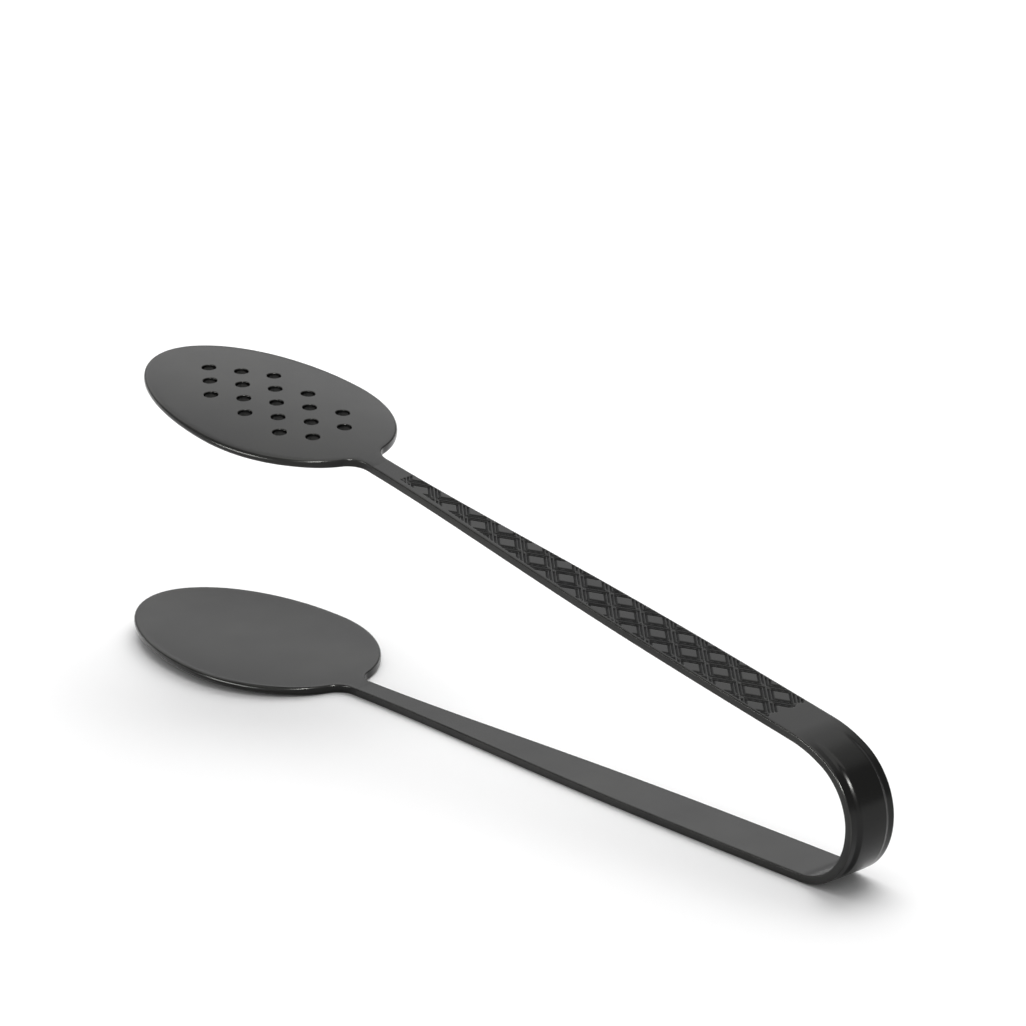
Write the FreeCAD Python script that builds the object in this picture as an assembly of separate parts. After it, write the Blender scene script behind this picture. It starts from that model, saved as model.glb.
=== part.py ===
"""One-piece spring ice tongs, bent from a single strip of stainless sheet.

The strip runs from a plain bowl along the lower arm, round a spring bow and back
along the upper arm to a perforated bowl.  Each zone of the strip is one solid, and
neighbours meet face to face.  The bow flexes at the living hinge between its two
halves.

Frame: +X towards the bow, +Y across the strip, +Z up, millimetres.  The origin is at
the middle of the footprint, on the surface that the tongs stand on.
"""
import FreeCAD, Part
import math
import os

# ---- sheet and strip -------------------------------------------------------------
sheet_t = 1.8              # thickness of the sheet
bow_width = 11.0           # strip width round the bow
neck_width = 4.8           # strip width where it enters a bowl
taper_power = 1.55         # how late along an arm the taper starts

# ---- side view -------------------------------------------------------------------
bow_inner_r_low = 13.7     # inside radius of the bow's lower half
bow_turn_low = 85.0        # degrees turned by the lower half, up to the living hinge
bow_inner_r_high = 11.6    # inside radius of the upper half
bow_turn_high = 65.0
lead_inner_r = 25.7        # gentle bend from the bow into the upper arm
opening_angle = 10.0       # between the two arms at rest
lower_arm_len = 141.0      # straight part of each arm, from the bow to its neck
upper_arm_len = 131.2

# ---- stiffening rib pressed outwards round the bow --------------------------------
rib_width = 6.1
rib_shoulder = 0.8         # width of the slope on each side of the rib
rib_rise = 0.5
rib_free_turn = 20.0       # degrees of the bow's foot that stay plain, clear of the table

# ---- bowls -----------------------------------------------------------------------
bowl_width = 41.0
bowl_front_len = 39.8      # from the widest place to the tip
bowl_back_len = 28.3       # from the widest place to the neck
neck_stub_len = 5.0        # parallel stub between the arm and the bowl's curve
neck_fillet_r = 4.8
dish_depth = 1.0
dish_crown = 2.0           # ellipsoid semi-axes over the dish's own half sizes
bowl_pitch = 2.4           # each bowl leans this far towards the other one

# ---- perforations of the upper bowl ------------------------------------------------
hole_d = 3.0
hole_pitch_along = 5.9     # from one row to the next
hole_pitch_across = 8.16   # inside one row, and rows of odd and even counts alternate
hole_rows = (2, 3, 2, 3, 2, 3, 2, 1)     # holes in each row, from the neck to the tip
first_row_from_neck = 12.6

# ---- derived ----------------------------------------------------------------------
bowl_len = bowl_back_len + bowl_front_len
blank_len = neck_stub_len + bowl_len
lead_turn = 180.0 - opening_angle - bow_turn_low - bow_turn_high
arm_stations = 8           # places where the taper formula is evaluated
overshoot = 2.0            # how far cutting tools pass the faces they cut

BEND_AXIS = FreeCAD.Vector(0, -1, 0)     # turning about this bends the strip upwards
UP = FreeCAD.Vector(0, 0, 1)


def vec(x, y, z):
    return FreeCAD.Vector(x, y, z)


def rotation(axis, degrees):
    return FreeCAD.Rotation(axis, degrees)


def moved(shape, placement):
    """A copy of shape carried by placement, with the place written into its geometry."""
    return shape.transformed(placement.toMatrix(), True)


def only_solid(shape):
    """The one solid that a fuse or a cut leaves, out of its compound."""
    assert len(shape.Solids) == 1, "the pieces of one node came apart"
    return shape.Solids[0]


def travel_frame(point, heading):
    """Local X runs along the strip, local Z points to the inside of the bend."""
    return FreeCAD.Placement(point, rotation(BEND_AXIS, heading))


# ---- arms ---------------------------------------------------------------------------
def arm_half_width(along, length):
    """Half width: a raised-cosine taper from the bow's width to the neck's width."""
    late = (along / length) ** taper_power
    share = (1 + math.cos(math.pi * late)) / 2
    return (neck_width + (bow_width - neck_width) * share) / 2


def arm_edge(length, side):
    """One long edge of an arm, from the bow to the neck, as a smooth curve."""
    stations = [length * i / arm_stations for i in range(arm_stations + 1)]
    curve = Part.BSplineCurve()
    curve.interpolate([vec(x, side * arm_half_width(x, length), 0) for x in stations])
    return curve.toShape()


def arm_blank(length):
    """Flat tapered arm: X from the bow to the neck, Z from the outer to the inner face."""
    left = arm_edge(length, 1)
    right = arm_edge(length, -1)
    bow_end = Part.makeLine(vec(0, -bow_width / 2, 0), vec(0, bow_width / 2, 0))
    neck_end = Part.makeLine(vec(length, -neck_width / 2, 0), vec(length, neck_width / 2, 0))
    outline = Part.Wire(Part.__sortEdges__([bow_end, left, neck_end, right]))
    return Part.Face(outline).extrude(UP * sheet_t)


# ---- bowls --------------------------------------------------------------------------
def half_ellipse(centre_x, semi_x, first_degrees):
    """Half an ellipse across the bowl: half a unit circle, stretched to the semi-axes."""
    unit = Part.makeCircle(1, vec(0, 0, 0), UP, first_degrees, first_degrees + 180)
    stretch = FreeCAD.Matrix()
    stretch.scale(semi_x, bowl_width / 2, 1)
    arc = unit.transformGeometry(stretch)
    arc.translate(vec(centre_x, 0, 0))
    return arc


def bowl_prism(low, high):
    """The bowl's outline with its neck stub, filleted where they meet, as a tall prism."""
    widest = neck_stub_len + bowl_back_len
    back = half_ellipse(widest, bowl_back_len, 90)
    front = half_ellipse(widest, bowl_front_len, 270)
    egg = Part.Face(Part.Wire(Part.__sortEdges__([back, front]))).extrude(UP * (high - low))
    stub = Part.makeBox(neck_stub_len + overshoot * 2, neck_width, high - low,
                        vec(-overshoot, -neck_width / 2, 0))
    prism = egg.fuse(stub)
    corners = [edge for edge in prism.Edges if is_neck_corner(edge)]
    prism = prism.makeFillet(neck_fillet_r, corners)
    prism.translate(vec(0, 0, low))
    return prism


def is_neck_corner(edge):
    """True for the two upright edges where the stub meets the bowl's curve."""
    box = edge.BoundBox
    upright = box.XLength < 0.01 and box.YLength < 0.01
    return upright and 0 < box.XMin < neck_stub_len + overshoot


def dish_ellipsoid(rim_z):
    """Ellipsoid whose lowest cap is the dish: rim at rim_z, middle dish_depth lower."""
    rim_share = math.sqrt(1 - 1 / dish_crown ** 2)
    semi_z = dish_depth / (1 - rim_share)
    scale = FreeCAD.Matrix()
    scale.scale(blank_len / 2 * dish_crown, bowl_width / 2 * dish_crown, semi_z)
    ellipsoid = Part.makeSphere(1.0).transformGeometry(scale)
    ellipsoid.translate(vec(blank_len / 2, 0, rim_z + semi_z * rim_share))
    return ellipsoid


def bowl_blank():
    """Shallow dished bowl, leaning inwards, cut square where it meets its arm."""
    prism = bowl_prism(-dish_depth - overshoot, sheet_t + overshoot)
    dished = prism.common(dish_ellipsoid(0)).cut(dish_ellipsoid(sheet_t))
    leaning = moved(dished, travel_frame(vec(0, 0, 0), bowl_pitch))
    reach = blank_len + bowl_width
    beyond_neck = Part.makeBox(reach, bowl_width + overshoot, reach,
                               vec(0, -(bowl_width + overshoot) / 2, -reach / 2))
    return only_solid(leaning.common(beyond_neck))


def perforated(bowl):
    """The bowl with its staggered rows of drain holes."""
    lean = travel_frame(vec(0, 0, 0), bowl_pitch)
    drill_len = dish_depth + sheet_t + 2 * overshoot
    for row, count in enumerate(hole_rows):
        along = neck_stub_len + first_row_from_neck + row * hole_pitch_along
        for place in range(count):
            across = (place - (count - 1) / 2) * hole_pitch_across
            start = vec(along, across, -dish_depth - overshoot)
            drill = Part.makeCylinder(hole_d / 2, drill_len, start, UP)
            bowl = bowl.cut(moved(drill, lean))
    return only_solid(bowl)


# ---- spring bow ------------------------------------------------------------------------
def strip_section(with_rib):
    """Cross-section in the YZ plane: outer face at Z 0, inner face at the sheet thickness."""
    half = bow_width / 2
    foot = rib_width / 2 + rib_shoulder
    outer = [(-half, 0), (half, 0)]
    if with_rib:
        rise = [(-foot, 0), (-rib_width / 2, -rib_rise), (rib_width / 2, -rib_rise), (foot, 0)]
        outer = [outer[0]] + rise + [outer[1]]
    inner = [(y, z + sheet_t) for y, z in reversed(outer)]
    corners = [vec(0, y, z) for y, z in outer + inner]
    return Part.Face(Part.makePolygon(corners + corners[:1]))


def bend(point, heading, inner_r, turn, with_rib):
    """One arc of the bow from point and heading: its solid, and the point where it ends."""
    frame = travel_frame(point, heading)
    centre = frame.multVec(vec(0, 0, inner_r + sheet_t))
    section = strip_section(with_rib)
    section.Placement = frame
    solid = section.revolve(centre, BEND_AXIS, turn)
    end = centre + rotation(BEND_AXIS, turn).multVec(point - centre)
    return solid, end


# ---- the whole strip ----------------------------------------------------------------------
def carried_on(arm_frame, length, bowl):
    """A bowl at the far end of an arm of this length."""
    return moved(moved(bowl, FreeCAD.Placement(vec(length, 0, 0), FreeCAD.Rotation())), arm_frame)


def build():
    """Every node of the tongs, with the lower arm's outer face at Z 0 and the bow at X 0."""
    start = vec(0, 0, 0)
    ribbed_turn = bow_turn_low - rib_free_turn
    foot, rib_start = bend(start, 0, bow_inner_r_low, rib_free_turn, False)
    low, hinge_outer = bend(rib_start, rib_free_turn, bow_inner_r_low, ribbed_turn, True)
    high, lead_start = bend(hinge_outer, bow_turn_low, bow_inner_r_high, bow_turn_high, True)
    lead_heading = bow_turn_low + bow_turn_high
    lead, arm_start = bend(lead_start, lead_heading, lead_inner_r, lead_turn, False)
    lower_frame = FreeCAD.Placement(start, rotation(UP, 180))
    upper_frame = travel_frame(arm_start, lead_heading + lead_turn)
    plain = bowl_blank()
    nodes = {
        "lower_bowl": carried_on(lower_frame, lower_arm_len, plain),
        "lower_arm": moved(arm_blank(lower_arm_len), lower_frame),
        "lower_bow": only_solid(foot.fuse(low)),
        "upper_bow": only_solid(high.fuse(lead)),
        "upper_arm": moved(arm_blank(upper_arm_len), upper_frame),
        "upper_bowl": carried_on(upper_frame, upper_arm_len, perforated(plain)),
    }
    hinge_inner = hinge_outer + rotation(BEND_AXIS, bow_turn_low).multVec(UP * sheet_t)
    return nodes, hinge_inner


def main():
    nodes, hinge = build()
    box = Part.makeCompound(list(nodes.values())).optimalBoundingBox(False)
    to_origin = vec(-box.Center.x, 0, -box.ZMin)
    os.makedirs("parts", exist_ok=True)
    for name, shape in nodes.items():
        shape.translate(to_origin)
        shape.exportStep(f"parts/{name}.step")
        size = shape.optimalBoundingBox(False)
        print(f"{name}: {shape.ShapeType}, solids {len(shape.Solids)}, valid {shape.isValid()}, "
              f"volume {shape.Volume:.1f} mm3, X {size.XMin:.2f} to {size.XMax:.2f}, "
              f"Z {size.ZMin:.2f} to {size.ZMax:.2f}")
    axis_point = hinge + to_origin
    print(f"hinge line at X {axis_point.x:.3f}, Z {axis_point.z:.3f}")
    print(f"overall {box.XLength:.1f} x {box.YLength:.1f} x {box.ZLength:.1f} mm")


main()
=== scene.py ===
import math

import bpy
import numpy as np
from mathutils import Matrix, Vector
from mathutils.geometry import delaunay_2d_cdt


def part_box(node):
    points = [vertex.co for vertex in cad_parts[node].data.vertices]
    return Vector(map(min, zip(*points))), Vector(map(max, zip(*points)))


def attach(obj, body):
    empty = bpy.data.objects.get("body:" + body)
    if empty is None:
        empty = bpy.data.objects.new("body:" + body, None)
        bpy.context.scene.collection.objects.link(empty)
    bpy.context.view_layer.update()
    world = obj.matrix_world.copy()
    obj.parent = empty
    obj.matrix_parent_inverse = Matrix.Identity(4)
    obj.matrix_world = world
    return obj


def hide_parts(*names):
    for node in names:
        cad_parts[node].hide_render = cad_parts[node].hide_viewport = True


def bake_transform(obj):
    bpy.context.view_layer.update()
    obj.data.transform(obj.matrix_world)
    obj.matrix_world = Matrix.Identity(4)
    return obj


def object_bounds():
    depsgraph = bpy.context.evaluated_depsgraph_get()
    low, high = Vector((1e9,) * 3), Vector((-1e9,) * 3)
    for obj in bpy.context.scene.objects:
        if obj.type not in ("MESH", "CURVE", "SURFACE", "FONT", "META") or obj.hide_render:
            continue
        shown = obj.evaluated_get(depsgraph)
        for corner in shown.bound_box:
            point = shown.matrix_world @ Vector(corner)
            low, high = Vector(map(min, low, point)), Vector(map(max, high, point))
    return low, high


# One-piece spring ice tongs: a single strip of steel sheet, dished at both ends and bent
# into a bow.  Lengths are in millimetres until a mesh is written, and in metres there.
#
# Strip coordinates: s runs along the strip, y across it, and n through the sheet, from 0
# on the outer face to the sheet's thickness on the inner face.

MM = 0.001

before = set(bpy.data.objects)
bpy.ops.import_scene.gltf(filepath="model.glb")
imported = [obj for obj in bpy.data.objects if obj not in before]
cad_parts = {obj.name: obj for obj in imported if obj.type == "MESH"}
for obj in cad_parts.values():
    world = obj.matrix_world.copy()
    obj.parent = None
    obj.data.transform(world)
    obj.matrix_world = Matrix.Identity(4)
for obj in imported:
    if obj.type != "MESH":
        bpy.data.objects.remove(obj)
cad_low, cad_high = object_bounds()


def extent(node):
    """Lowest corner and size of a CAD node, in millimetres."""
    low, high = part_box(node)
    return np.array(low) / MM, np.array(high - low) / MM


# ---- sizes read from the frame -------------------------------------------------------
lower_arm_at, lower_arm_size = extent("lower_arm")
upper_arm_at, upper_arm_size = extent("upper_arm")
lower_arm_len, bow_width, sheet = lower_arm_size
bowl_width = extent("lower_bowl")[1][1]
bow_start = np.array([lower_arm_at[0] + lower_arm_len, lower_arm_at[2]])

# ---- sizes of the design -------------------------------------------------------------
opening = math.radians(10.0)          # between the two arms
bow_arcs = (                          # inner radius and turn of each arc of the bow
    (13.7, math.radians(85.0)),
    (11.6, math.radians(65.0)),
    (25.7, math.radians(20.0)),
)
upper_arm_len = (upper_arm_size[0] - sheet * math.sin(opening)) / math.cos(opening)
neck_width = 4.8
taper_power = 1.55                    # how late along an arm the taper starts
corner_r = 0.32                       # rounding of the strip's cut edges
rim_r = 0.8                           # and of the bowls' rims, away from the neck

bowl_front_len, bowl_back_len = 39.8, 28.3
neck_stub, neck_fillet = 5.0, 4.8
dish_depth, dish_crown = 1.0, 2.0
bowl_pitch = math.radians(2.4)
blank_len = neck_stub + bowl_back_len + bowl_front_len

hole_r = 1.5
hole_lip = 0.2                        # rounding of each punched edge
hole_rows = (2, 3, 2, 3, 2, 3, 2, 1)
row_pitch, hole_pitch = 5.9, 8.16
first_row = neck_stub + 12.6

rib_width, rib_shoulder, rib_rise = 5.9, 1.0, 0.5
rib_fade_in = (6.0, 16.0)             # along the bow, from its foot
rib_fade_out = (14.5, 3.5)            # before its end


# ---- small curves --------------------------------------------------------------------
def smooth(x, low, high):
    """0 up to low, 1 from high on, and a smoothstep 3t^2 - 2t^3 between."""
    t = np.clip((x - low) / (high - low), 0, 1)
    return t * t * (3 - 2 * t)


def arm_half_width(s, length):
    """Half width of an arm: a raised cosine of (s / length)^taper_power from bow to neck."""
    share = (1 + np.cos(np.pi * (s / length) ** taper_power)) / 2
    return (neck_width + (bow_width - neck_width) * share) / 2


# ---- meshes --------------------------------------------------------------------------
def grid_quads(rows, columns):
    """Quads of a grid of rows x columns points whose columns close into a ring."""
    i, j = np.meshgrid(np.arange(rows - 1), np.arange(columns), indexing="ij")
    k = (j + 1) % columns
    corners = (i * columns + j, i * columns + k, (i + 1) * columns + k, (i + 1) * columns + j)
    return np.stack(corners, -1).reshape(-1, 4)


def mesh_piece(name, points, faces, **attributes):
    """A smooth-shaded object at the origin, from points in millimetres."""
    mesh = bpy.data.meshes.new(name)
    mesh.from_pydata((points * MM).tolist(), [], faces)
    for label, values in attributes.items():
        layer = mesh.attributes.new(label, "FLOAT", "POINT")
        layer.data.foreach_set("value", np.asarray(values, np.float32).ravel())
    mesh.shade_smooth()
    mesh.set_sharp_from_angle(angle=math.radians(55))
    piece = bpy.data.objects.new(name, mesh)
    bpy.context.scene.collection.objects.link(piece)
    return piece


def half_section(face_cells):
    """Half of the strip's cross-section: the outer face, then one cut edge.

    Returns four arrays over its points, share, corner, n and edge.  A point lies at
    y = share * (half width - corner_r) + corner and at height n.  Each corner is a quarter
    circle of radius corner_r, and edge is 1 in the middle of a corner and 0 on the faces.
    """
    across = np.linspace(-1, 1, face_cells + 1)
    turn = np.linspace(0, np.pi / 2, 7)[1:-1]
    wall = np.array([corner_r, sheet / 2, sheet - corner_r])
    share = np.concatenate([across, np.ones(2 * len(turn) + 3)])
    corner = corner_r * np.concatenate([0 * across, np.sin(turn), wall ** 0, np.cos(turn)])
    n = np.concatenate([0 * across, corner_r * (1 - np.cos(turn)), wall,
                        sheet - corner_r * (1 - np.sin(turn))])
    edge = np.concatenate([0 * across, np.sin(2 * turn), 0 * wall + 0.3, np.sin(2 * turn)])
    return share, corner, n, edge


def section(outer_cells, inner_cells):
    """The whole closed section: a half for the outer face, and a half turned round in the
    plane of the section for the inner face."""
    share, corner, n, edge = half_section(outer_cells)
    back_share, back_corner, back_n, back_edge = half_section(inner_cells)
    return (np.concatenate([share, -back_share]), np.concatenate([corner, -back_corner]),
            np.concatenate([n, sheet - back_n]), np.concatenate([edge, back_edge]))


def strip_piece(name, s, line, heading, half_width, cells, press):
    """The section carried along a line, and pressed through the sheet by press(s, y).

    A point is line(s) + y * Y + n * inward(s), with inward = (-sin heading, cos heading)
    in the XZ plane.  press gives how far the outer and the inner face move inward, and
    how deep each outer point lies in the relief, from 0 to 1.
    """
    share, corner, n, edge = section(*cells)
    y = share * (half_width[:, None] - corner_r) + corner
    outer, inner, recess = press(s[:, None] + 0 * y, y, half_width[:, None])
    through = n / sheet
    depth = n + outer * (1 - through) + inner * through
    x = line[:, :1] - depth * np.sin(heading)[:, None]
    z = line[:, 1:] + depth * np.cos(heading)[:, None]
    points = np.stack([x, y, z], -1).reshape(-1, 3)
    rows, columns = y.shape
    ring = np.arange(columns)
    faces = grid_quads(rows, columns).tolist()
    faces += [ring[::-1].tolist(), (ring + (rows - 1) * columns).tolist()]
    # The relief mask written here also tells the material where to paint shade into the sunk
    # ground.
    return mesh_piece(name, points, faces, edge_wear=np.tile(edge, rows),
                      recess=recess * (n < corner_r / 2))


# ---- bow -----------------------------------------------------------------------------
def bow_line(step):
    """Outer line of the bow: arc after arc, each a turn about a centre on the inner side."""
    s, line, heading = [0.0], [bow_start], [0.0]
    for inner_r, turn in bow_arcs:
        r = inner_r + sheet
        here, along = line[-1], heading[-1]
        centre = here + r * np.array([-math.sin(along), math.cos(along)])
        cells = int(math.ceil(r * turn / step))
        angles = along + turn * np.arange(1, cells + 1) / cells
        s += list(s[-1] + r * (angles - along))
        line += list(centre + r * np.stack([np.sin(angles), -np.cos(angles)], -1))
        heading += list(angles)
    return np.array(s), np.array(line), np.array(heading)


bow_s, bow_xz, bow_heading = bow_line(0.35)
bow_len = bow_s[-1]


def rib(s, y, half_width):
    """Rib pressed outwards round the bow: a flat band with smooth shoulders that fades in
    over the foot of the bow and fades out towards the upper arm."""
    band = 1 - smooth(np.abs(y), rib_width / 2, rib_width / 2 + rib_shoulder)
    fade_out = smooth(s, bow_len - rib_fade_out[0], bow_len - rib_fade_out[1])
    out = -rib_rise * band * smooth(s, *rib_fade_in) * (1 - fade_out)
    return out, out, 0 * out


# ---- relief of the upper arm ---------------------------------------------------------
relief_start, relief_margin = 7.0, 7.7    # plain steel at the bow and at the neck
zigzag_depth = 0.9
near_margin = (0.2, 0.8)                  # plain edge at the bow, and how much it grows
cell_len, cell_rise = 9.2, 3.3            # the staggered lattice, along and across
lattice_y = 2.6
plate_size, ring_size, shared_rib_size = 0.54, 0.745, 0.94    # shares of the whole cell
ring_width = 0.24
pip_away, pip_size = 3.72, (0.5, 0.36)
relief_depth = 0.2
soft = 0.09                               # half the width of a pressed wall


def inside(distance):
    """1 inside a shape and 0 outside it, from its signed distance."""
    return 1 - smooth(distance, -soft, soft)


def lozenge(u, v, half_len, half_rise):
    """Signed distance, about, to the lozenge |u| / half_len + |v| / half_rise = 1."""
    slope = 1 / math.hypot(1 / half_len, 1 / half_rise)
    return (np.abs(u) / half_len + np.abs(v) / half_rise - 1) * slope


def motif(u, v):
    """One lattice place: a solid lozenge, a thin lozenge ring round it, half of the rib
    that it shares with its neighbours, and a pip in each long corner between the two."""
    out = np.abs(u) / (cell_len / 2) + np.abs(v) / cell_rise
    step = 1 / math.hypot(2 / cell_len, 1 / cell_rise)
    plate = (out - plate_size) * step
    ring = np.abs(out - ring_size) * step - ring_width / 2
    shared_rib = (shared_rib_size - out) * step
    pip = lozenge(np.abs(u) - pip_away, v, *pip_size)
    return np.maximum.reduce([inside(plate), inside(ring), inside(shared_rib), inside(pip)])


def relief(s, y, half_width):
    """Coined relief: the motif stands level with the face on a staggered lattice, in a
    ground pressed relief_depth into it.  Rows of cells lie cell_rise apart, and every
    other row is shifted by half a cell.  The ground starts with a zigzag at the bow and
    stops at a straight line near the neck."""
    best = np.full(y.shape, 9.0)
    u, v = 0 * y, 0 * y
    row = np.round((y - lattice_y) / cell_rise)
    for near in (-1, 0, 1):
        away = y - lattice_y - (row + near) * cell_rise
        along = (s - relief_start - ((row + near) % 2) * cell_len / 2) % cell_len - cell_len / 2
        out = np.abs(along) / (cell_len / 2) + np.abs(away) / cell_rise
        u, v = np.where(out < best, along, u), np.where(out < best, away, v)
        best = np.minimum(out, best)
    raised = motif(u, v)
    zigzag = relief_start + zigzag_depth * np.abs((y / cell_rise) % 1 - 0.5) * 2
    lengthwise = smooth(s, zigzag - soft, zigzag + soft)
    stop = upper_arm_len - relief_margin
    lengthwise = lengthwise * (1 - smooth(s, stop - soft, stop + soft))
    margin = near_margin[0] + near_margin[1] * smooth(s, 55, upper_arm_len) * (y < 0)
    rim = 1 - smooth(np.abs(y), half_width - corner_r - margin - soft,
                     half_width - corner_r - margin + soft)
    ground = lengthwise * rim * (1 - raised)
    # ground sets the pressing depth and is also the mask of painted shade in the sunk ground.
    return relief_depth * ground, 0 * y, ground


def plain(s, y, half_width):
    """No pressing at all."""
    return 0 * y, 0 * y, 0 * y


# ---- bowls ---------------------------------------------------------------------------
def bowl_outline(step):
    """Plan of a bowl blank from the neck, as points and outward normals, one way round.

    Stub edge, fillet, back half-ellipse and front half-ellipse on one side, then the
    mirror image.  The fillet's centre is neck_fillet outside both the stub's edge and the
    ellipse, which settles the ellipse's angle where it ends.
    """
    half, stub_y = bowl_width / 2, neck_width / 2
    widest = neck_stub + bowl_back_len
    trial = np.linspace(np.pi / 2, np.pi, 4000)
    x, y = widest + bowl_back_len * np.cos(trial), half * np.sin(trial)
    normal = np.stack([np.cos(trial) / bowl_back_len, np.sin(trial) / half], -1)
    normal /= np.linalg.norm(normal, axis=1)[:, None]
    centre_y = y + neck_fillet * normal[:, 1]
    end = trial[np.argmin(np.abs(centre_y - stub_y - neck_fillet) + 10 * (y < stub_y))]
    tip = np.array([np.cos(end) / bowl_back_len, np.sin(end) / half])
    tip /= np.linalg.norm(tip)
    touch = np.array([widest + bowl_back_len * math.cos(end), half * math.sin(end)])
    centre = touch + neck_fillet * tip
    last_turn = math.atan2(-tip[1], -tip[0])
    turn = np.linspace(-np.pi / 2, last_turn, 14)
    round_fillet = np.stack([np.cos(turn), np.sin(turn)], -1)
    stub_x = np.arange(0, centre[0] - step / 3, step)
    runs = [
        np.stack([stub_x, 0 * stub_x + stub_y, 0 * stub_x, 0 * stub_x + 1], -1),
        np.concatenate([centre + neck_fillet * round_fillet, -round_fillet], -1),
    ]
    for semi, first, last in ((bowl_back_len, end, np.pi / 2), (bowl_front_len, np.pi / 2, 0.0)):
        cells = int(math.ceil(semi * abs(last - first) / step))
        angle = np.linspace(first, last, cells + 1)[1:]
        out = np.stack([np.cos(angle) / semi, np.sin(angle) / half], -1)
        out /= np.linalg.norm(out, axis=1)[:, None]
        x, y = widest + semi * np.cos(angle), half * np.sin(angle)
        runs.append(np.stack([x, y, *out.T], -1))
    top = np.concatenate(runs)
    mirror = top[-2::-1] * np.array([1, -1, 1, -1])
    ring = np.concatenate([top, mirror])
    return ring[:, :2], ring[:, 2:]


def hole_centres():
    """Staggered rows from the neck to the tip, each centred across the bowl."""
    rows = [(first_row + row * row_pitch, (place - (count - 1) / 2) * hole_pitch)
            for row, count in enumerate(hole_rows) for place in range(count)]
    return np.array(rows)


def dish(x, y):
    """Depth of the dish below the rim plane: the low cap of an ellipsoid whose semi-axes
    are dish_crown times the blank's half length and half width."""
    rim = math.sqrt(1 - 1 / dish_crown ** 2)
    out = ((x / (blank_len / 2) - 1) ** 2 + (y / (bowl_width / 2)) ** 2) / dish_crown ** 2
    return -dish_depth * (np.sqrt(np.clip(1 - out, 0, 1)) - rim) / (1 - rim)


def rolled_rings(plan, normals, radius):
    """Rings from the outer face round a cut edge to the inner face: quarter circles with
    an upright wall between, whose radius may change along the edge.  Returns points,
    ring by ring, with how much each is worn."""
    turn = np.linspace(0, np.pi / 2, 7)
    zero, one = 0 * turn, [1.0]
    out = np.concatenate([np.sin(turn), one, np.cos(turn)]) - 1
    level = np.concatenate([zero, [0.5], zero + 1])
    curl = np.concatenate([1 - np.cos(turn), [0.0], np.sin(turn) - 1])
    wear = np.concatenate([np.sin(2 * turn), [0.0], np.sin(2 * turn)])
    radius = np.broadcast_to(radius, len(plan))
    spread = plan[None] + (out[:, None] * radius)[..., None] * normals[None]
    height = level[:, None] * sheet + curl[:, None] * radius
    return np.concatenate([spread, height[..., None]], -1), wear[:, None] + 0 * height


def field(boundary, holes, spacing):
    """Plan triangles of a bowl's face between its rim and its holes, on a staggered grid
    of points: returns points, whose first ones are the boundary and hole rings."""
    low, high = boundary.min(0), boundary.max(0)
    row_height = spacing * 0.866      # of nearly equal-sided triangles
    grid = []
    for k, y in enumerate(np.arange(low[1], high[1], row_height)):
        x = np.arange(low[0] + (k % 2) * spacing / 2, high[0], spacing)
        grid.append(np.stack([x, np.full(len(x), y)], -1))
    grid = np.concatenate(grid)
    inside_rim = clearance(grid, boundary) > spacing * 0.45
    for ring in holes:
        centre = ring.mean(0)
        reach = np.linalg.norm(ring[0] - centre) + spacing * 0.5
        inside_rim &= np.linalg.norm(grid - centre, axis=1) > reach
    loops = [boundary] + list(holes)
    points = np.concatenate(loops + [grid[inside_rim]])
    edges, start = [], 0
    for loop in loops:
        ring = np.arange(len(loop)) + start
        edges += np.stack([ring, np.roll(ring, -1)], -1).tolist()
        start += len(loop)
    result = delaunay_2d_cdt(points.tolist(), edges, [], 1, 1e-6)
    triangles = np.array(result[2])
    middle = points[triangles].mean(1)
    keep = np.ones(len(triangles), bool)
    for ring in holes:
        centre = ring.mean(0)
        keep &= np.linalg.norm(middle - centre, axis=1) > np.linalg.norm(ring[0] - centre)
    return points, triangles[keep]


def clearance(points, boundary):
    """Distance of each point to a closed boundary, positive inside it."""
    a, b = boundary, np.roll(boundary, -1, axis=0)
    ab = b - a
    ap = points[:, None] - a[None]
    t = np.clip((ap * ab).sum(-1) / (ab ** 2).sum(-1), 0, 1)
    near = np.linalg.norm(ap - t[..., None] * ab, axis=-1).min(1)
    crosses = (a[:, 1] > points[:, 1:2]) != (b[:, 1] > points[:, 1:2])
    at = a[:, 0] + (points[:, 1:2] - a[:, 1]) * ab[:, 0] / np.where(ab[:, 1] == 0, 1, ab[:, 1])
    odd = (crosses & (points[:, :1] < at)).sum(1) % 2 == 1
    return np.where(odd, near, -near)


def circle(centre, radius, count):
    """Points round a hole, and normals that point from the steel into the hole."""
    turn = np.linspace(0, 2 * np.pi, count, endpoint=False)[::-1]
    out = np.stack([np.cos(turn), np.sin(turn)], -1)
    return centre + radius * out, -out


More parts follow.
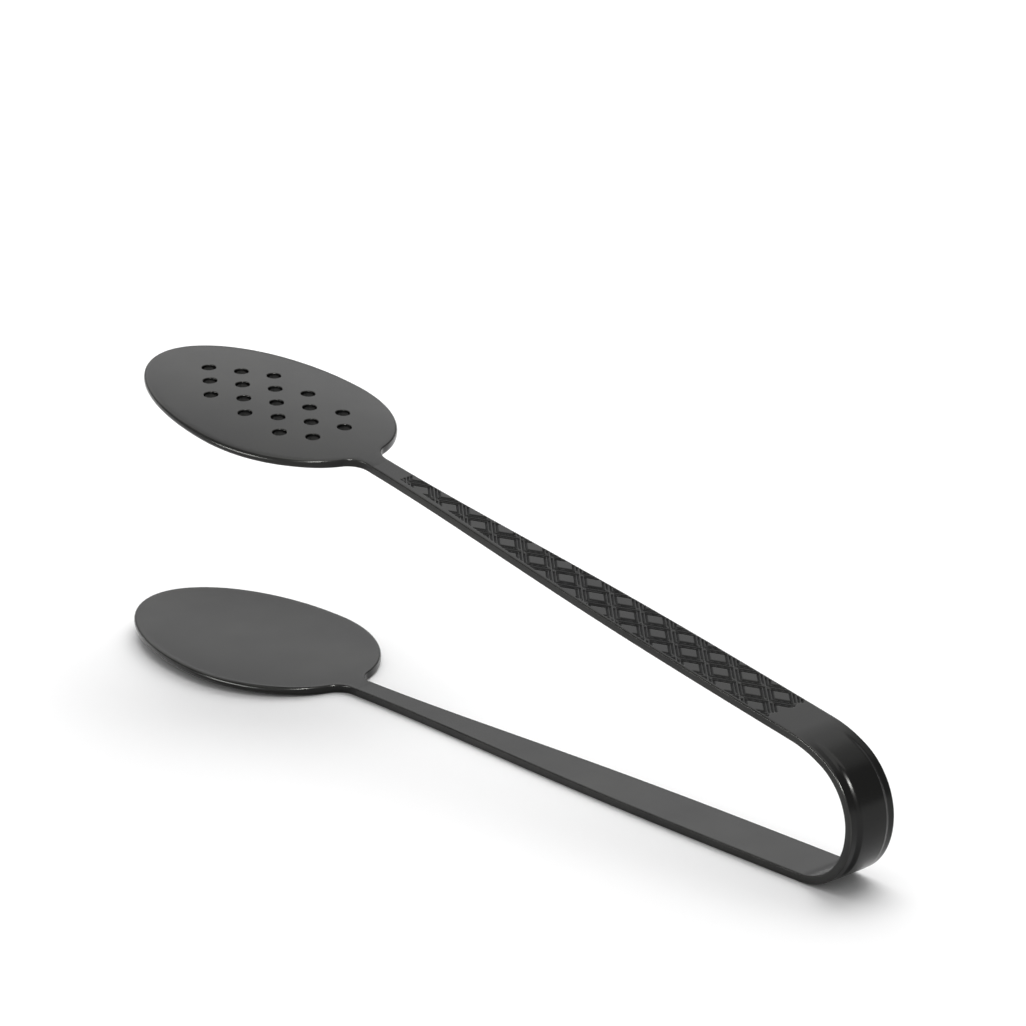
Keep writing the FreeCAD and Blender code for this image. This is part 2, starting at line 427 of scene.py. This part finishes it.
def bowl_piece(name, with_holes, to_frame):
    """A dished bowl: two faces of one field, and rolled rings at the rim and each hole."""
    outline, normals = bowl_outline(0.8)
    rim = corner_r + (rim_r - corner_r) * smooth(outline[:, 0], neck_stub, neck_stub + 9)
    loops = [(outline, normals, rim)]
    if with_holes:
        loops += [(*circle(centre, hole_r, 40), hole_lip) for centre in hole_centres()]
    rolled = [rolled_rings(*loop) for loop in loops]
    borders = [rings[0, :, :2] for rings, _ in rolled]
    plan, triangles = field(borders[0], borders[1:], 0.9)
    count = len(plan)
    level = np.ones(count)
    points = [np.column_stack([plan, 0 * level]), np.column_stack([plan, sheet * level])]
    wear = [0 * level, 0 * level]
    faces = triangles[:, ::-1].tolist() + (triangles + count).tolist()
    start, first = 2 * count, 0
    for rings, edge in rolled:
        inner = rings[1:-1].reshape(-1, 3)
        size = rings.shape[1]
        ring = np.arange(size) + first
        ids = np.concatenate([ring[None], start + np.arange(len(inner)).reshape(-1, size),
                              (ring + count)[None]])
        along = np.roll(ids, -1, axis=1)
        faces += np.stack([ids[:-1], ids[1:], along[1:], along[:-1]], -1).reshape(-1, 4).tolist()
        points.append(inner)
        wear.append(edge[1:-1].ravel())
        start += len(inner)
        first += size
    points = np.concatenate(points)
    points[:, 2] += dish(points[:, 0], points[:, 1])
    cosine, sine = math.cos(bowl_pitch), math.sin(bowl_pitch)
    lean = np.array([[cosine, 0, -sine], [0, 1, 0], [sine, 0, cosine]])
    return mesh_piece(name, to_frame(points @ lean.T), faces, edge_wear=np.concatenate(wear))


# ---- places of the arms --------------------------------------------------------------
bow_end, upper_heading = bow_xz[-1], bow_heading[-1]


def lower_frame(points):
    """From arm coordinates, with x from the bow to the neck, to the CAD frame."""
    x, y, z = points.T
    return np.stack([bow_start[0] - x, -y, bow_start[1] + z], -1)


def upper_frame(points):
    """The same for the upper arm, which leaves the bow at upper_heading."""
    x, y, z = points.T
    cosine, sine = math.cos(upper_heading), math.sin(upper_heading)
    along, up = x * cosine - z * sine, x * sine + z * cosine
    return np.stack([bow_end[0] + along, y, bow_end[1] + up], -1)


def straight(start, heading, length, step):
    """Stations of a straight run: distances, points in the XZ plane and headings."""
    s = np.linspace(0, length, int(math.ceil(length / step)) + 1)
    direction = np.array([math.cos(heading), math.sin(heading)])
    return s, start + s[:, None] * direction, np.full(len(s), heading)


# ---- materials -----------------------------------------------------------------------
def linear(hex_colour):
    """sRGB hex to linear RGBA."""
    parts = [int(hex_colour[i:i + 2], 16) / 255 for i in (1, 3, 5)]
    return (*(c / 12.92 if c <= 0.04045 else ((c + 0.055) / 1.055) ** 2.4 for c in parts), 1)


def add(tree, kind, links=(), settings=(), **inputs):
    """Add a node with its properties and input values, and link inputs to other sockets."""
    node = tree.nodes.new(kind)
    for key, value in dict(settings).items():
        setattr(node, key, value)
    for key, value in inputs.items():
        node.inputs[key.replace("_", " ")].default_value = value
    for key, socket in dict(links).items():
        tree.links.new(socket, node.inputs[key])
    return node


def pvd_coated_stainless():
    """Near-black titanium PVD over tumbled stainless sheet: a true metal with a very dark
    tint, the fine satin grain of the tumbled steel, faint clouding of the coating, a
    rougher ground in the coined relief that is also painted darker as painted shade, and
    edges that handling has burnished lighter."""
    material = bpy.data.materials.new("pvd_coated_stainless")
    material.use_nodes = True
    tree = material.node_tree
    tree.nodes.clear()
    # The real grain, about 0.1 mm, is too fine to show, so it is drawn at 0.6 mm.
    place = add(tree, "ShaderNodeTexCoord").outputs["Object"]
    grain = add(tree, "ShaderNodeTexNoise", {"Vector": place}, Scale=1 / (0.6 * MM), Detail=2.0)
    cloud = add(tree, "ShaderNodeTexNoise", {"Vector": place}, Scale=1 / (24 * MM), Detail=2.0)
    smudge = add(tree, "ShaderNodeTexNoise", {"Vector": place}, Scale=1 / (7 * MM), Detail=3.0)
    edge = add(tree, "ShaderNodeAttribute", settings={"attribute_name": "edge_wear"})
    ground = add(tree, "ShaderNodeAttribute", settings={"attribute_name": "recess"})
    patchy = add(tree, "ShaderNodeMath", {0: edge.outputs["Fac"], 1: smudge.outputs["Fac"]},
                 {"operation": "MULTIPLY"})
    tint = add(tree, "ShaderNodeValToRGB", {"Fac": cloud.outputs["Fac"]})
    for stop, position, tone in zip(tint.color_ramp.elements, (0.35, 0.65), ("#2b2b2b", "#2f2f2e")):
        stop.position, stop.color = position, linear(tone)
    colour = tint.outputs[0]
    # Two layers over the tint: the relief's sunk ground gets a darker colour (#1c1c1c), which is
    # painted shade in the recess, and worn edges get a lighter burnished tone.
    for share, tone in ((ground.outputs["Fac"], "#1c1c1c"), (patchy.outputs[0], "#4d4d4b")):
        layer = add(tree, "ShaderNodeMix", {"Factor": share, 6: colour},
                    {"data_type": "RGBA"})
        layer.inputs[7].default_value = linear(tone)
        colour = layer.outputs[2]
    satin = add(tree, "ShaderNodeMapRange", {"Value": smudge.outputs["Fac"]},
                From_Min=0.3, From_Max=0.7, To_Min=0.235, To_Max=0.265)
    rough = add(tree, "ShaderNodeMath", {0: ground.outputs["Fac"], 2: satin.outputs[0]},
                {"operation": "MULTIPLY_ADD"})
    rough.inputs[1].default_value = 0.28
    bump = add(tree, "ShaderNodeBump", {"Height": grain.outputs["Fac"]},
               Strength=0.03, Distance=0.02 * MM)
    shader = add(tree, "ShaderNodeBsdfPrincipled",
                 {"Base Color": colour, "Roughness": rough.outputs[0],
                  "Normal": bump.outputs[0]}, Metallic=1.0)
    add(tree, "ShaderNodeOutputMaterial", {"Surface": shader.outputs[0]})
    return material


def lit_white_acrylic():
    """Matt white acrylic sheet, lit softly from below so that shadows on it stay pale."""
    material = bpy.data.materials.new("lit_white_acrylic")
    material.use_nodes = True
    shader = material.node_tree.nodes["Principled BSDF"]
    shader.inputs["Base Color"].default_value = linear("#f4f4f4")
    shader.inputs["Roughness"].default_value = 0.9
    shader.inputs["Specular IOR Level"].default_value = 0.1
    shader.inputs["Emission Color"].default_value = linear("#ffffff")
    shader.inputs["Emission Strength"].default_value = 0.02
    return material


# ---- stage ---------------------------------------------------------------------------
view_azimuth, view_elevation = math.radians(52.22), math.radians(19.10)
view_roll = math.radians(-3.84)
view_distance, view_lens = 1.109, 197.4
aim_share = (0.5519, 0.832)           # of the tongs' length and height


def toward(azimuth, elevation):
    """Unit vector from the object towards a place: azimuth 0 is -Y and 90 degrees is +X."""
    level = math.cos(elevation)
    return Vector((math.sin(azimuth) * level, -math.cos(azimuth) * level, math.sin(elevation)))


def camera():
    """Long lens, a little above the tongs, from the bow's end, with a slight roll."""
    size = cad_high - cad_low
    aim = Vector((cad_low.x + aim_share[0] * size.x, 0, cad_low.z + aim_share[1] * size.z))
    back = toward(view_azimuth, view_elevation)
    level = Vector((math.cos(view_azimuth), math.sin(view_azimuth), 0))
    above = back.cross(level)
    right = math.cos(view_roll) * level + math.sin(view_roll) * above
    up = -math.sin(view_roll) * level + math.cos(view_roll) * above
    data = bpy.data.cameras.new("camera")
    data.lens = view_lens
    data.sensor_width = 36
    eye = bpy.data.objects.new("camera", data)
    turn = Matrix((right, up, back)).transposed().to_4x4()
    eye.matrix_world = Matrix.Translation(aim + back * view_distance) @ turn
    bpy.context.scene.collection.objects.link(eye)
    bpy.context.scene.camera = eye


def softbox(name, azimuth, elevation, distance, width, height, watts,
            lights_floor=True, seen_in_steel=True):
    """An area light that faces the middle of the tongs.  Like a flagged light in a studio,
    it can be kept off the floor, or out of the reflections in the steel."""
    data = bpy.data.lights.new(name, "AREA")
    data.shape = "RECTANGLE"
    data.size, data.size_y = width, height
    data.energy = watts
    lamp = bpy.data.objects.new(name, data)
    middle = (cad_low + cad_high) / 2
    out = toward(math.radians(azimuth), math.radians(elevation))
    lamp.location = middle + out * distance
    lamp.rotation_euler = out.to_track_quat("Z", "Y").to_euler()
    lamp.visible_diffuse = lights_floor
    lamp.visible_glossy = seen_in_steel
    bpy.context.scene.collection.objects.link(lamp)


def studio():
    """Pale floor, soft boxes over and behind the tongs, and two narrow ones that draw the
    streak on the bow's rib and the line along the near rims."""
    half = 6.0                        # metres of floor each way
    mesh = bpy.data.meshes.new("floor")
    corners = [(-half, -half, 0), (half, -half, 0), (half, half, 0), (-half, half, 0)]
    mesh.from_pydata(corners, [], [(0, 1, 2, 3)])
    floor = bpy.data.objects.new("floor", mesh)
    floor.data.materials.append(lit_white_acrylic())
    bpy.context.scene.collection.objects.link(floor)
    # name, azimuth, elevation, distance, width, height and watts
    softbox("overhead_softbox", 180, 80, 2.6, 2.6, 2.6, 27)
    softbox("floor_softbox", 215, 50, 1.6, 2.0, 2.0, 24, seen_in_steel=False)
    softbox("back_softbox", 250, 42, 1.6, 2.2, 1.3, 8.3, lights_floor=False)
    softbox("key_strip", 50, 30, 1.6, 0.30, 0.18, 17.0, lights_floor=False)
    softbox("front_strip", 342, 6, 1.3, 0.8, 0.11, 9.0, lights_floor=False)
    world = bpy.data.worlds.new("studio")
    world.use_nodes = True
    world.node_tree.nodes["Background"].inputs["Color"].default_value = (0.44, 0.44, 0.44, 1)
    bpy.context.scene.world = world
    bpy.context.scene.view_settings.view_transform = "Standard"


# ---- assembly ------------------------------------------------------------------------
def finish_piece(piece, material, nodes, body=None):
    """Coat a piece, hide the CAD nodes that it stands for, and put it on its body."""
    piece.data.materials.append(material)
    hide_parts(*nodes)
    if body:
        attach(piece, body)


def tongs():
    coat = pvd_coated_stainless()
    bowl = bowl_piece("plain_bowl", False, lambda p: lower_frame(p + [lower_arm_len, 0, 0]))
    finish_piece(bowl, coat, ["lower_bowl"], "lower_side")
    s, line, heading = straight(bow_start, 0.0, lower_arm_len, 1.0)
    line = line - [lower_arm_len, 0]
    half_width = arm_half_width(lower_arm_len - s, lower_arm_len)
    arm = strip_piece("plain_arm", s, line, heading, half_width, (24, 24), plain)
    finish_piece(arm, coat, ["lower_arm"], "lower_side")
    half_width = np.full(len(bow_s), bow_width / 2)
    bow = strip_piece("spring_bow", bow_s, bow_xz, bow_heading, half_width, (60, 60), rib)
    finish_piece(bow, coat, ["lower_bow", "upper_bow"])
    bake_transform(bow)
    s, line, heading = straight(bow_end, upper_heading, upper_arm_len, 0.16)
    half_width = arm_half_width(s, upper_arm_len)
    arm = strip_piece("relief_arm", s, line, heading, half_width, (76, 12), relief)
    finish_piece(arm, coat, ["upper_arm"], "upper_side")
    bowl = bowl_piece("drained_bowl", True, lambda p: upper_frame(p + [upper_arm_len, 0, 0]))
    finish_piece(bowl, coat, ["upper_bowl"], "upper_side")


camera()
studio()
tongs()
